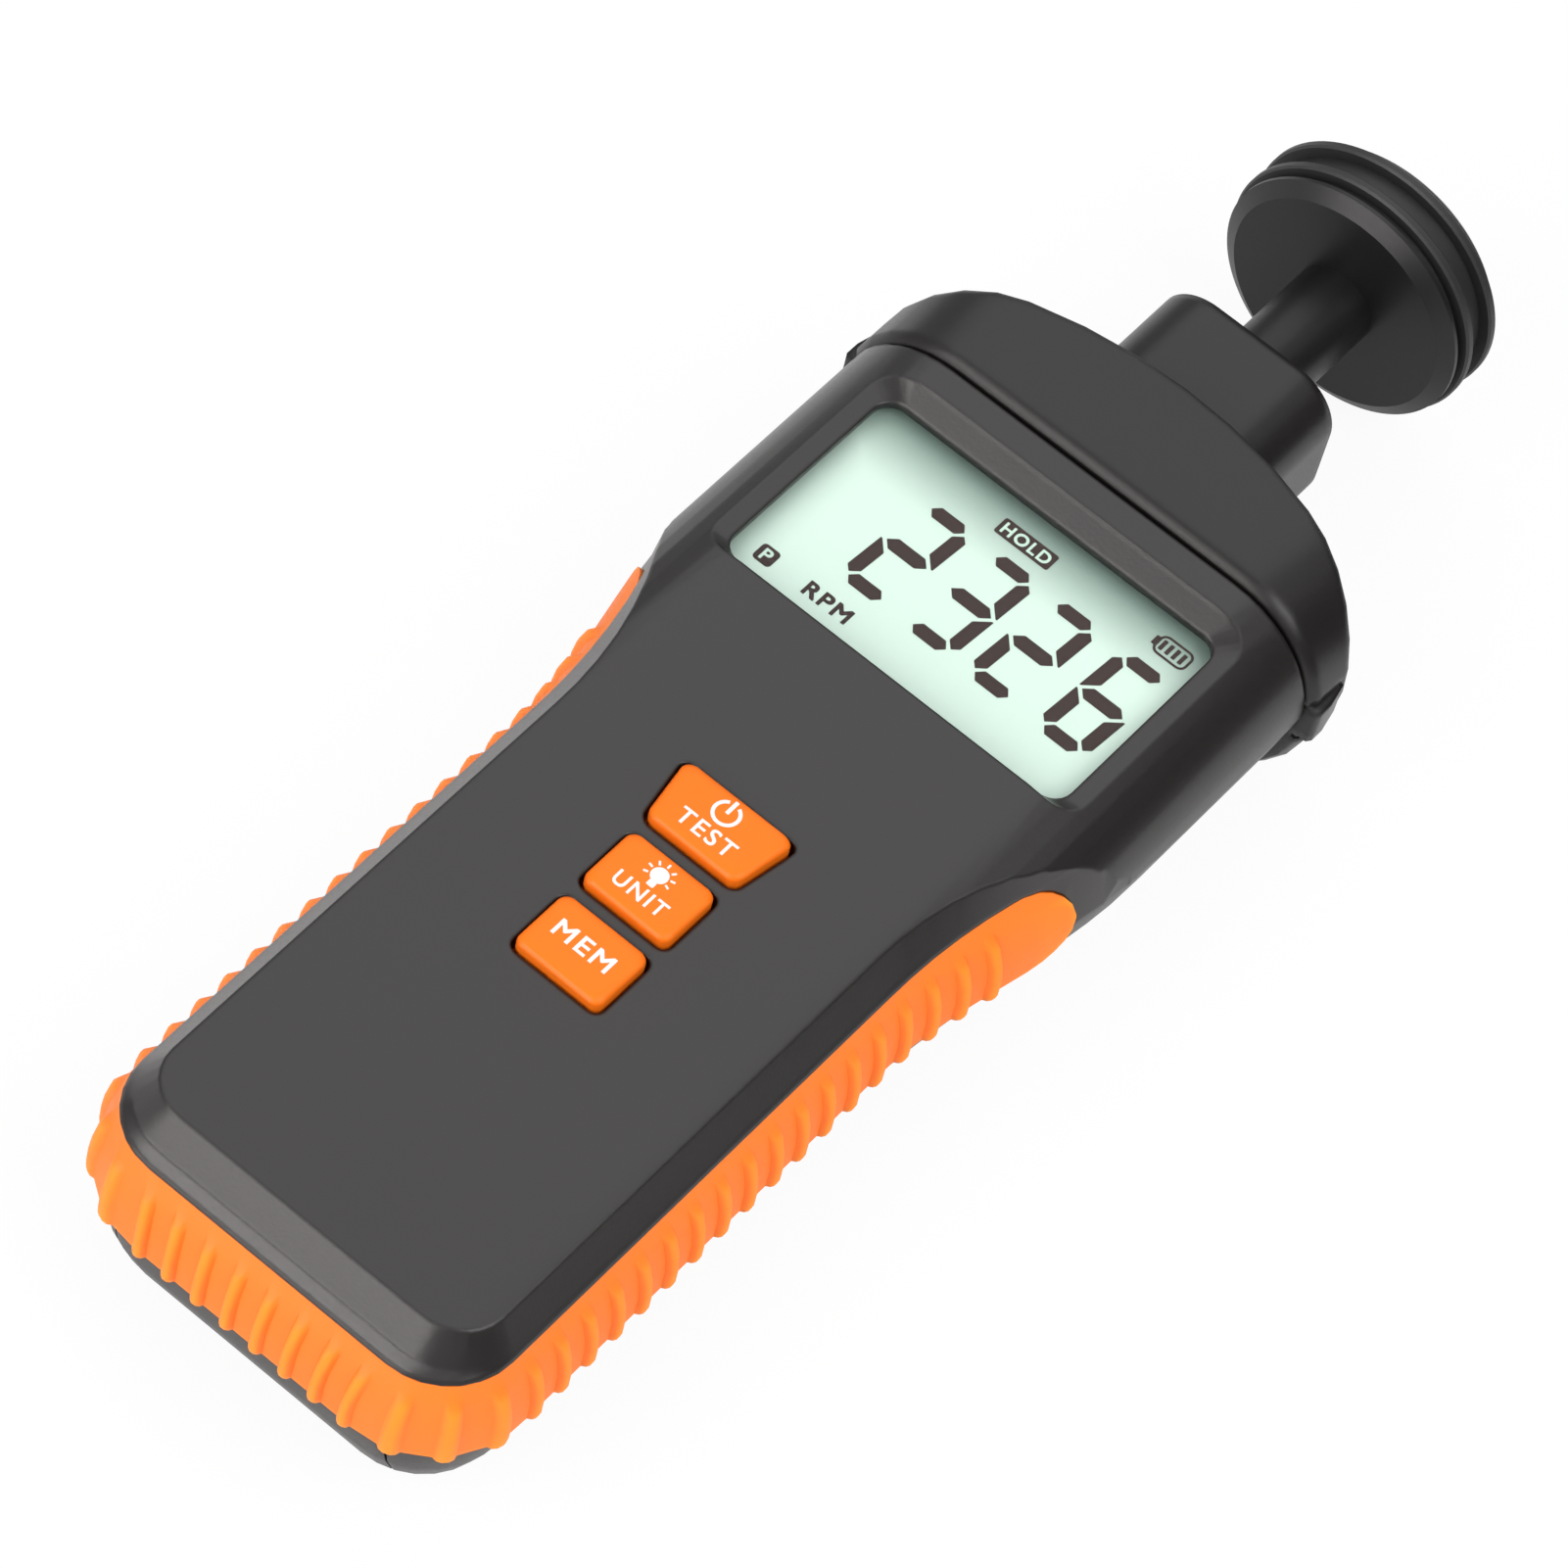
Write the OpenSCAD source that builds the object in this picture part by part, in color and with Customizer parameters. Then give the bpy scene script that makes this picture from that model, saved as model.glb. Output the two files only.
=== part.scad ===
// A handheld laser tachometer with a clip-on contact head and a surface-speed wheel.
// Lengths are in millimetres. It lies on its back: +Z comes out of the face, +Y points to the wheel.
// Each module works from the butt of the rim (y = 0); centred() moves the whole to its middle.

/* [Housing] */
// thickness of the housing from back to face
housing_depth = 30; // [29.5:0.5:33]
// height of the parting plane between the shells
parting_height = 18; // [17:0.5:19]
// length of the housing from the rim at the butt to the front end
housing_length = 128.7; // [127:0.5:134]
// width of the handle across the rim
handle_width = 47.8; // [46.5:0.5:51]
// width of the head
head_width = 61.8; // [61.3:0.5:65.3]
// distance from the front end back to where the face begins to flare
head_reach = 61.4; // [60.4:0.5:62.4]
// radius of the flare at the waist
flare_radius = 53; // [48:1:60]
// inset of the face crease from the rim along the sides
chamfer_side = 2.8; // [2.2:0.2:3.2]
// inset of the face crease from the rim at the butt
chamfer_end = 4; // [3.4:0.2:4.4]
// drop from the face to the rim
chamfer_drop = 4.4; // [4:0.2:4.8]
// half width of the flat top of the head
head_flat = 19; // [17.5:0.5:20]
// rounding of the lower edges, sideways
back_round = 9; // [8:0.5:9.5]
// corner radius of the rim at the butt
rim_corner = 8.6; // [8:0.2:9.4]

/* [Grip] */
// height of the soft band
grip_height = 11.4; // [10.4:0.2:11.8]
// how far the band swells beyond the shell behind it
grip_swell = 0.35; // [0.3:0.05:0.5]
// height of the ribs
rib_height = 0.8; // [0.4:0.05:0.9]
// distance between ribs
rib_pitch = 4.1; // [3.8:0.1:4.6]
// thickness of the band behind the rim
grip_wall = 1.6; // [1.2:0.1:1.8]

/* [Display] */
// width of the display opening
window_width = 44.8; // [42:0.4:45.2]
// length of the display opening
window_length = 27.8; // [25:0.4:27.8]
// distance from the front end back to the middle of the display
window_back = 20.1; // [20:0.1:20.8]
// depth of the bevel round the display
bevel_depth = 1.7; // [1.5:0.1:2]

/* [Keys] */
// width of the two lower keys
key_width = 11.2; // [10:0.3:11.8]
// length of each key
key_length = 8.2; // [7.4:0.2:8.4]
// width of the power key at its wide end
power_key_width = 14.4; // [12.9:0.3:15]
// height of the keys above the face
key_rise = 1.2; // [0.9:0.1:1.5]
// distance from the butt to the lowest key
first_key_y = 45.8; // [44.8:0.5:46.8]
// distance between keys
key_pitch = 10.4; // [10.1:0.15:10.7]
// gap between a key and its opening
key_gap = 0.35; // [0.25:0.05:0.5]

/* [Contact head] */
// height of the spindle above the back
spindle_height = 16.8; // [16.6:0.1:17.4]
// radius of the spindle
spindle_radius = 2.5; // [2:0.1:2.8]
// gap between the housing and the contact head
head_gap = 0.6; // [0.4:0.1:0.8]
// length of the contact head at its sides
band_length = 6.4; // [6:0.2:7]
// radius of the bowed front of the contact head, seen from above
bow_radius = 60; // [57:1:66]
// length of the nose in front of the bow
nose_length = 13.5; // [12:0.5:15]
// width of the nose
nose_width = 23.2; // [21:0.4:24]
// height of the nose
nose_height = 20; // [18.4:0.4:21]

/* [Wheel] */
// radius of the rubber lips
tyre_radius = 15.9; // [15:0.1:16.2]
// radius of the hub boss
boss_radius = 4.9; // [4.4:0.1:5.6]
// length of the hub boss behind the wheel
boss_length = 16.9; // [14.9:0.5:18.4]
// width of the wheel
wheel_width = 9.2; // [8.8:0.2:9.8]

/* [Hidden] */
$fn = 48;
gap = 0.1;
play = 0.3;
bearing_play = 0.05;
rim_z = housing_depth - chamfer_drop;
grip_top = rim_z - 0.2;
grip_low = grip_top - grip_height;
rim_half = handle_width / 2;
face_half = rim_half - chamfer_side;
base_out = 1.6;
base_end = 1.8;
base_half = rim_half + base_out;
head_half = head_width / 2;
flare_start = housing_length - head_reach;
window_y = housing_length - window_back;
waist_start = flare_start - 2;
waist_end = flare_start + 35;
tip_y = flare_start + 18;
face_wall = 2.6;
ceiling_z = housing_depth - face_wall;
head_ceiling_z = housing_depth - bevel_depth - 0.9;
spigot_width = 42;
spigot_height = 17;
spigot_corner = 5;
spigot_reach = 5.5;
floor_z = 2.5;
head_floor_z = spindle_height - spigot_height / 2 - 0.5;
handle_room = 19;
low_room = 18;
head_room = 24;
room_start = 8;
room_step = flare_start + 23.5;
front_wall = 3.3;
room_end = housing_length - front_wall;
bevel_top = 2.5;
bevel_low = 1;
bevel_side = 2.2;
flange_wall = 1.3;
flange_reach = min(1.1, (key_pitch - key_length) / 2 - 0.15);
flange_z = ceiling_z - flange_wall - 0.2;
stem_z = flange_z - 0.6;
board_wall = 1.6;
lens_wall = 1;
panel_wall = 2;
lens_z = head_ceiling_z - gap - lens_wall;
panel_z = lens_z - gap - panel_wall;
strip_height = 3.1;
strip_width = 2.4;
board_top = panel_z - strip_height;
board_z = board_top - board_wall;
board_half = 12.2;
switch_side = 6;
switch_rest = 1;
post_x = 10.3;
post_ys = [first_key_y - 5.5, first_key_y + 2 * key_pitch + 9.5];
cover_half = 17.5;
cover_end = 58;
cover_floor = 2.4;
cover_block = 6.2;
cover_gap = 0.25;
case_screws_at = [[16, cover_end + 4.3], [17, flare_start + 19]];
screw_head = 2.6;
screw_head_height = 2.2;
screw_shank = 1.45;
screw_seat = 7;
board_screw_head = 1.9;
board_screw_height = 1.2;
board_screw_shank = 0.95;
board_screw_reach = 5;
cell_radius = 5.25;
cell_length = 44.5;
cell_pitch = 11;
cell_y = 10;
cell_z = 7.9;
contact_side = 8;
contact_wall = 1;
optic_x = 6.5;
laser_radius = 4;
sensor_radius = 5;
cap_y = housing_length + head_gap;
cap_half = head_half + 1;
cap_top = housing_depth + 0.6 - spindle_height;
cap_crown = 0.15;
cap_low = spindle_height - 0.1 - cap_crown;
nose_y = cap_y + band_length + bow(cap_half);
nose_end = nose_y + nose_length;
chamber_y = cap_y + 9.3;
bush_radius = 5;
bush_length = 4.8;
rear_bush_y = chamber_y + 2;
boss_y = nose_end + 0.4;
wheel_y = boss_y + boss_length;
wheel_end = wheel_y + wheel_width;
butt_end = -(base_end + grip_swell + rib_height);
middle_y = (wheel_end + butt_end) / 2;

// Helpers

module centred() {
    translate([0, -middle_y, 0])
        children();
}

function ease(t) = let (c = min(max(t, 0), 1)) c * c * (3 - 2 * c);

// a closed skin over rings that have equal numbers of points
module skin(rings) {
    n = len(rings[0]);
    last = len(rings) - 1;
    sides = [for (k = [0 : last - 1], i = [0 : n - 1], half = [0, 1])
        let (j = (i + 1) % n, a = k * n, b = (k + 1) * n)
        half == 0 ? [a + i, b + i, b + j] : [a + i, b + j, a + j]];
    ends = [[for (i = [0 : n - 1]) i], [for (i = [n - 1 : -1 : 0]) last * n + i]];
    polyhedron(points = [for (r = rings, p = r) p], faces = concat(sides, ends), convexity = 10);
}

// the flare of the face, and the slower swell of the lower body, along the sides
function face_flare(y) = let (d = min(max(y - flare_start, 0), 42))
    flare_radius - sqrt(flare_radius * flare_radius - d * d);
function body_swell(y) = (head_half - base_half) * ease((y - waist_start) / (waist_end - waist_start));

// an edge of the body: [half width, share of the face flare, share of the body swell, butt y, corner]
crease_edge = [face_half, 1, 0, chamfer_end, rim_corner - 3];
bead_edge = [face_half + 0.78 * chamfer_side, 0.75, 0, 0.42 * chamfer_end, rim_corner - 1];
rim_edge = [rim_half, 0.67, 0, 0, rim_corner];
base_edge = [base_half, 0, 1, -base_end, rim_corner + 2.7];

// the base edge drawn in towards the back, by a share f of the rounding, with less of the swell
function low_edge(f) = [base_half - back_round * f, 0, 1 - 0.75 * sqrt(f), -base_end + back_round * f,
    rim_corner + 2.7 - back_round * f];

function inset(edge, d) = [edge[0] - d, edge[1], edge[2], edge[3] + d, edge[4] - d];

// a place on an edge: t 0 to 1 along the butt, 1 to 2 round the corner, 2 to 3 up the side
function place(edge, t) =
    let (w = edge[0], b = edge[3], r = edge[4], a = 90 * (t - 2))
    t < 1 ? [t * (w - r), b] :
    t < 2 ? [w - r + r * cos(a), b + r + r * sin(a)] :
    let (y = b + r + (t - 2) * (housing_length - b - r))
    [w + edge[1] * face_flare(y) + edge[2] * body_swell(y), y];
function outward(t) = t < 1 ? [0, -1] : t < 2 ? [cos(90 * (t - 2)), sin(90 * (t - 2))] : [1, 0];

corner_stops = [for (i = [0 : 7]) 1 + i / 7];
side_stops = [for (f = [0.44, 0.48, 0.51, 0.54, 0.57, 0.6, 0.63, 0.66, 0.69, 0.72, 0.75, 0.79, 1]) 2 + f];
stops = concat(corner_stops, side_stops);

function loop(edge, z) =
    let (right = [for (t = stops) place(edge, t)], n = len(right))
    concat([for (p = right) [p[0], p[1], z]],
        [for (i = [n - 1 : -1 : 0]) [-right[i][0], right[i][1], z]]);

// a ring with round corners, 7 points to a corner, in the plane
function round_ring(w, h, r) = [for (q = [0 : 3], i = [0 : 6])
    let (a = 90 * q + 15 * i, sx = (q == 0 || q == 3) ? 1 : -1, sy = q < 2 ? 1 : -1)
    [sx * (w / 2 - r) + r * cos(a), sy * (h / 2 - r) + r * sin(a)]];

// a flat shape with true round corners
module round_plate(w, h, r) {
    square([w - 2 * r, h], center = true);
    square([w, h - 2 * r], center = true);
    for (sx = [-1, 1], sy = [-1, 1])
        translate([sx * (w / 2 - r), sy * (h / 2 - r)])
            circle(r);
}

// lays a drawing of x and z upright at y and pulls it along +Y by d
module along_y(y, d) {
    translate([0, y + d, 0])
        rotate([90, 0, 0])
            linear_extrude(d)
                children();
}

// a turned solid about the spindle: the drawing has radius in x and distance along +Y in y
module turned(y) {
    translate([0, y, spindle_height])
        rotate([-90, 0, 0])
            rotate_extrude()
                children();
}

module shaft(y, d, r) {
    translate([0, y, spindle_height])
        rotate([-90, 0, 0])
            cylinder(h = d, r = r);
}

module tube(d, outer, inner) {
    difference() {
        cylinder(h = d, r = outer);
        translate([0, 0, -1])
            cylinder(h = d + 2, r = inner);
    }
}

module block(x, y, z) {
    translate([x[0], y[0], z[0]])
        cube([x[1] - x[0], y[1] - y[0], z[1] - z[0]]);
}

module at_pairs(places) {
    for (p = places, s = [-1, 1])
        translate([s * p[0], p[1], 0])
            children();
}

// Grip band

grip_run = rim_half - rim_corner;
grip_turn = rim_corner * PI / 2;
grip_side = housing_length - rim_corner;
rib_count = floor((grip_run + grip_turn + tip_y - rim_corner - 1) / rib_pitch);
rib_steps = [[-0.9, 0], [-0.64, 0.66], [-0.26, 1], [0.26, 1], [0.64, 0.66], [0.9, 0]];
tip_radius = grip_height / 2;

function stop_at(s) = s < grip_run ? s / grip_run :
    s < grip_run + grip_turn ? 1 + (s - grip_run) / grip_turn :
    2 + (s - grip_run - grip_turn) / grip_side;
function swell_at(f) = f < 0.8 ? 1 - pow(1 - f / 0.8, 2) : 1;

rib_levels = [[0, 0], [0.14, 0], [0.2, 0.6], [0.28, 1], [0.5, 1], [0.7, 1], [0.9, 1], [0.97, 0.8], [1, 0.4]];
grip_mid = grip_top - tip_radius;

// one section of the band, at distance s from the middle of the butt on side m
function band_ring(s, m, rib) =
    let (t = stop_at(s), c = place(rim_edge, t), p = place(base_edge, t), n = outward(t),
        past = max(0, c[1] - tip_y) * (t > 2 ? 1 : 0) / tip_radius,
        h = tip_radius * sqrt(max(1 - past * past, 0.002)),
        out = [for (l = rib_levels)
            let (z = grip_mid + h * (1 - 2 * l[0]), f = (grip_top - z) / grip_height,
                k = swell_at(f), edge = l[0] == 1 ? 0.4 : 0,
                q = c + (p + n * grip_swell - c) * k + n * (rib * l[1] * rib_height - edge))
            [m * q[0], q[1], z]],
        a = c - n * grip_wall)
    concat([[m * a[0], a[1], grip_mid + h]], out, [[m * a[0], a[1], grip_mid - h]]);

tip_stops = [for (f = [0, 0.35, 0.6, 0.8, 0.93, 1]) grip_run + grip_turn + tip_y - rim_corner + f * tip_radius];

module grip_band() {
    ribbed = [for (j = [0 : rib_count - 1], o = rib_steps) [(j + 0.5) * rib_pitch + o[0], o[1]]];
    run = concat(ribbed, [for (s = tip_stops) [s, 0]]);
    n = len(run);
    skin(concat([for (i = [n - 1 : -1 : 0]) band_ring(run[i][0], -1, run[i][1])],
        [for (r = run) band_ring(r[0], 1, r[1])]));
}

// the channel that the band fills, one section
function channel_ring(s, m) =
    let (t = stop_at(s), c = place(rim_edge, t), p = place(base_edge, t), n = outward(t),
        past = max(0, c[1] - tip_y) * (t > 2 ? 1 : 0) / tip_radius,
        h = tip_radius * sqrt(max(1 - past * past, 0.002)) + gap,
        a = c - n * (grip_wall + gap), b = p + n * 5)
    [[m * a[0], a[1], grip_mid + h], [m * b[0], b[1], grip_mid + h],
        [m * b[0], b[1], grip_mid - h], [m * a[0], a[1], grip_mid - h]];

module grip_channel() {
    run = concat([for (i = [1 : 7]) stop_length(i / 7)], [for (i = [0 : 6]) swell_length(i / 6)],
        [for (s = tip_stops) s + gap]);
    n = len(run);
    skin(concat([for (i = [n - 1 : -1 : 0]) channel_ring(run[i], -1)],
        [for (s = run) channel_ring(s, 1)]));
}

function stop_length(f) = grip_run + grip_turn * (f * 7 - 1) / 6;
function swell_length(f) = grip_run + grip_turn + waist_start - rim_corner + f * (tip_y - waist_start - 0.5);

// Housing

module front_form() {
    under = loop(base_edge, parting_height - 1);
    low = loop(base_edge, parting_height);
    rim = loop(rim_edge, rim_z);
    bead = loop(bead_edge, rim_z + 0.2 * chamfer_drop);
    crease = loop(crease_edge, housing_depth);
    above = loop(inset(crease_edge, 0.6), housing_depth + 1);
    intersection() {
        skin([under, low, rim, bead, crease, above]);
        along_y(-5, housing_length + 5)
            head_section();
    }
}

// the head's section: flat top and elliptic shoulders down to the parting plane
module head_section() {
    drop = housing_depth - parting_height;
    reach = head_half + 0.05 - head_flat;
    right = [for (a = [90 : -9 : 0]) [head_flat + reach * cos(a), parting_height + drop * sin(a)]];
    left = [for (a = [0 : 9 : 90]) [-head_flat - reach * cos(a), parting_height + drop * sin(a)]];
    polygon(concat(right, left));
}

module rear_form() {
    side = head_half + 5;
    turns = [for (a = [0 : 15 : 90]) loop(low_edge(1 - sin(a)), parting_height * (1 - cos(a)))];
    intersection() {
        skin(concat([loop(low_edge(1), -1)], turns, [loop(base_edge, parting_height + 1)]));
        block([-side, side], [-5, housing_length + 5], [0, parting_height]);
    }
}

module cover_room(g) {
    block([-cover_half - g, cover_half + g], [-5, cover_end + g], [-1, cover_floor + g]);
    block([-cover_half - g, cover_half + g], [-5, cover_block + g], [-1, grip_low - 0.4 + g]);
}

module window_cut() {
    mid = window_y;
    w = window_width;
    l = window_length;
    drop = housing_depth - parting_height;
    reach = head_half + 0.05 - head_flat;
    opening = round_ring(w, l, 2.4);
    outer = [for (p = round_ring(w + 2 * bevel_side, l + bevel_top + bevel_low, 3.2))
        [p[0], p[1] + (bevel_top - bevel_low) / 2]];
    function fall(x) = let (d = max(abs(x) - head_flat, 0) / reach) drop * (1 - sqrt(1 - d * d));
    translate([0, mid, 0])
        skin([[for (p = opening) [p[0], p[1], head_ceiling_z - 1]],
            [for (p = opening) [p[0], p[1], housing_depth - bevel_depth]],
            [for (p = outer) [p[0], p[1], housing_depth - fall(p[0]) + 0.02]],
            [for (p = outer) [p[0], p[1], housing_depth + 2]]]);
}

// the outline of a key: wide end towards the display when flare is more than 1
function key_ring(w, flare, d) = [for (p = round_ring(w + 2 * d, key_length + 2 * d, 1.2))
    [p[0] * (1 + (flare - 1) * (p[1] / key_length + 0.5)), p[1]]];

power_flare = power_key_width / (key_width + 0.6);

module key_opening(w, flare) {
    translate([0, 0, ceiling_z - 1])
        linear_extrude(face_wall + 3)
            polygon(key_ring(w, flare, key_gap));
}

module key_form(w, flare) {
    top = housing_depth + key_rise;
    tiers = [[0, flange_z], [0, top - 0.7], [-0.15, top - 0.3], [-0.5, top - 0.06], [-1.2, top]];
    union() {
        skin([for (s = tiers) [for (p = key_ring(w, flare, s[0])) [p[0], p[1], s[1]]]]);
        translate([0, 0, flange_z])
            linear_extrude(flange_wall)
                polygon(key_ring(w, flare, flange_reach));
        translate([0, 0, stem_z])
            cylinder(h = 1, r = 2);
    }
}

key_ys = [first_key_y, first_key_y + key_pitch, first_key_y + 2 * key_pitch];

module rooms(z0, z1, handle_top, head_top) {
    block([-handle_room, handle_room], [room_start, room_step + 1], [z0, handle_top]);
    block([-head_room, head_room], [room_step, room_end], [z1, head_top]);
}

module bezel_room(g) {
    translate([0, spindle_height])
        round_plate(spigot_width + 2 * g, spigot_height + 2 * g, spigot_corner + g);
}

module front_shell() {
    color([0.2, 0.19, 0.19])
        centred() {
            difference() {
                front_form();
                grip_channel();
                rooms(parting_height - 1, parting_height - 1, ceiling_z, head_ceiling_z);
                window_cut();
                along_y(room_end - 1, front_wall + 2)
                    bezel_room(gap);
                for (i = [0 : 2])
                    translate([0, key_ys[i], 0])
                        key_opening(i == 2 ? key_width + 0.6 : key_width, i == 2 ? power_flare : 1);
            }
            at_pairs(case_screws_at)
                translate([0, 0, parting_height])
                    difference() {
                        cylinder(h = ceiling_z - parting_height + 0.5, r = 2.8);
                        translate([0, 0, -1])
                            cylinder(h = 8, r = 1.5);
                    }
            at_pairs([for (y = post_ys) [post_x, y]])
                translate([0, 0, board_top])
                    difference() {
                        cylinder(h = ceiling_z - board_top + 0.5, r = 2.1);
                        translate([0, 0, -1])
                            cylinder(h = 6, r = 1);
                    }
        }
}

module rear_shell() {
    wall_top = cell_z + cell_radius + 1.8;
    color([0.16, 0.15, 0.15])
        centred()
            difference() {
                rear_form();
                difference() {
                    union() {
                        rooms(floor_z, head_floor_z, parting_height + 1, parting_height + 1);
                        block([-low_room, low_room], [room_step, room_end], [floor_z, head_floor_z + 1]);
                    }
                    at_pairs(case_screws_at)
                        cylinder(h = parting_height + 2, r = 3.6);
                    battery_walls(wall_top);
                }
                grip_channel();
                cover_room(cover_gap);
                along_y(room_end - 1, front_wall + 2)
                    bezel_room(gap);
                at_pairs(case_screws_at) {
                    translate([0, 0, -1])
                        cylinder(h = parting_height + 2, r = 1.7);
                    translate([0, 0, -1])
                        cylinder(h = 8, r = 2.9);
                }
            }
}

// the battery room's two end walls and its ceiling
module battery_walls(top) {
    side = handle_room + 1;
    block([-side, side], [cover_block, room_start + 0.5], [0, top]);
    block([-side, side], [cell_y + cell_length + 1.2, cover_end - 1.2], [0, top]);
    block([-side, side], [cover_block, cover_end - 1.2], [top - 1.5, top]);
}

module grip_sleeve() {
    color([1, 0.45, 0.1])
        centred()
            grip_band();
}

module display_lens() {
    color([0.85, 0.95, 0.9, 0.5])
        centred()
            translate([0, window_y, lens_z])
                linear_extrude(lens_wall)
                    round_plate(window_width + 1.6, window_length + 1.6, 3);
}

module lcd_panel() {
    color([0.8, 0.92, 0.86])
        centred()
            translate([0, window_y, panel_z + panel_wall / 2])
                cube([window_width + 1.6, window_length + 1.6, panel_wall], center = true);
}

module lcd_strips() {
    color([0.9, 0.5, 0.6])
        centred()
            for (s = [-1, 1])
                translate([0, window_y + s * (window_length - strip_width) / 2, board_top + strip_height / 2])
                    cube([window_width - 4, strip_width, strip_height], center = true);
}

module power_key() {
    color([1, 0.45, 0.1])
        centred()
            translate([0, key_ys[2], 0])
                key_form(key_width + 0.6, power_flare);
}

module unit_key() {
    color([1, 0.45, 0.1])
        centred()
            translate([0, key_ys[1], 0])
                key_form(key_width, 1);
}

module memory_key() {
    color([1, 0.45, 0.1])
        centred()
            translate([0, key_ys[0], 0])
                key_form(key_width, 1);
}

module main_board() {
    color([0.05, 0.3, 0.15])
        centred()
            difference() {
                union() {
                    block([-board_half, board_half], [post_ys[0] - 3.5, room_step + 2], [board_z, board_top]);
                    block([-window_width / 2, window_width / 2],
                        [room_step + 1, window_y + window_length / 2 + 0.8], [board_z, board_top]);
                }
                at_pairs([for (y = post_ys) [post_x, y]])
                    translate([0, 0, board_z - 1])
                        cylinder(h = board_wall + 2, r = 1.1);
            }
}

module tact_switches() {
    color([0.25, 0.25, 0.27])
        centred()
            for (y = key_ys)
                translate([0, y, board_top]) {
                    translate([-switch_side / 2, -switch_side / 2, 0])
                        cube([switch_side, switch_side, stem_z - board_top - 1.8 * switch_rest]);
                    cylinder(h = stem_z - board_top - switch_rest, r = 0.27 * switch_side);
                }
}

module case_screws() {
    color([0.6, 0.6, 0.62])
        centred()
            at_pairs(case_screws_at) {
                translate([0, 0, screw_seat - screw_head_height])
                    cylinder(h = screw_head_height, r = screw_head);
                translate([0, 0, screw_seat - screw_head_height / 2])
                    cylinder(h = parting_height - screw_seat + screw_head_height / 2 + 5, r = screw_shank);
            }
}

module board_screws() {
    color([0.6, 0.6, 0.62])
        centred()
            at_pairs([for (y = post_ys) [post_x, y]]) {
                translate([0, 0, board_z - board_screw_height])
                    cylinder(h = board_screw_height, r = board_screw_head);
                translate([0, 0, board_z - board_screw_height / 2])
                    cylinder(h = board_screw_height / 2 + board_screw_reach, r = board_screw_shank);
            }
}

module battery_cover() {
    color([0.14, 0.13, 0.13])
        centred()
            intersection() {
                rear_form();
                cover_room(0);
            }
}

module battery_cells() {
    color([0.3, 0.45, 0.6])
        centred()
            for (i = [-1 : 1])
                translate([i * cell_pitch, i == 0 ? cell_y + cell_length : cell_y, cell_z])
                    rotate([i == 0 ? 90 : -90, 0, 0]) {
                        cylinder(h = cell_length - 1, r = cell_radius);
                        cylinder(h = cell_length, r = 1.9);
                    }
}

module battery_contacts() {
    color([0.75, 0.72, 0.65])
        centred()
            for (i = [-1 : 1], far = [0, 1])
                translate([i * cell_pitch, far * cell_length + cell_y + (far - 0.5) * (contact_wall + 2 * gap), cell_z])
                    cube([contact_side, contact_wall, contact_side], center = true);
}

module front_bezel() {
    color([0.12, 0.12, 0.12])
        centred()
            difference() {
                union() {
                    along_y(room_end - 0.5, front_wall + 0.5 + spigot_reach)
                        bezel_room(0);
                    along_y(room_end - 1.7, 1.6)
                        translate([0, spindle_height])
                            round_plate(spigot_width + 4, spigot_height, 3);
                }
                translate([-optic_x, room_end - 5, spindle_height])
                    rotate([-90, 0, 0])
                        cylinder(h = 30, r = laser_radius + gap);
                translate([optic_x, room_end - 5, spindle_height])
                    rotate([-90, 0, 0])
                        cylinder(h = 30, r = sensor_radius + gap);
            }
}

module laser_module() {
    color([0.75, 0.65, 0.35])
        centred()
            translate([-optic_x, room_end - 1.6, spindle_height])
                rotate([-90, 0, 0])
                    cylinder(h = front_wall + spigot_reach, r = laser_radius);
}

module photo_sensor() {
    color([0.1, 0.1, 0.15])
        centred()
            translate([optic_x, room_end - 1.6, spindle_height])
                rotate([-90, 0, 0])
                    cylinder(h = front_wall + spigot_reach, r = sensor_radius);
}

// Contact head

// how far the bowed front falls back at x
function bow(x) = bow_radius - sqrt(bow_radius * bow_radius - x * x);

// a section of the contact head: top with a slight crown, elliptic shoulders, on the bow when bowed is 1
function cap_ring(y, bowed, flat, half, top, low) =
    let (crown = [for (i = [0 : 2]) cap_crown * (1 - i * i / 9)],
        right = concat([for (i = [0 : 2]) [flat * i / 3, spindle_height - low - crown[i]]],
            [for (a = [-90 : 15 : 90])
                [flat + (half - flat) * cos(a), spindle_height + (a > 0 ? top : low) * sin(a)]],
            [for (i = [2 : -1 : 0]) [flat * i / 3, spindle_height + top + crown[i]]]),
        n = len(right))
    concat([for (p = right) [-p[0], y - bowed * bow(p[0]), p[1]]],
        [for (i = [n - 2 : -1 : 1]) [right[i][0], y - bowed * bow(right[i][0]), right[i][1]]]);

nose_corner = 6.2;

module cap_form() {
    edge = 0.7;
    nose_half = nose_width / 2 - 0.6;
    nose_rise = nose_height / 2 - 0.6;
    function drawn_in(y, d) = cap_ring(y, 1, head_flat - d / 2, cap_half - d, cap_top - d, cap_low - d);
    skin([cap_ring(cap_y, 0, head_flat, cap_half - edge, cap_top - edge, cap_low - edge),
        cap_ring(cap_y + 1.1, 0, head_flat, cap_half, cap_top, cap_low),
        drawn_in(nose_y - 1, 0),
        drawn_in(nose_y - 0.4, 0.15),
        drawn_in(nose_y, 0.7),
        drawn_in(nose_y + 0.2, 2.6),
        cap_ring(nose_y + 0.4, 0, 6, nose_half, nose_rise, nose_rise)]);
}

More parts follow.
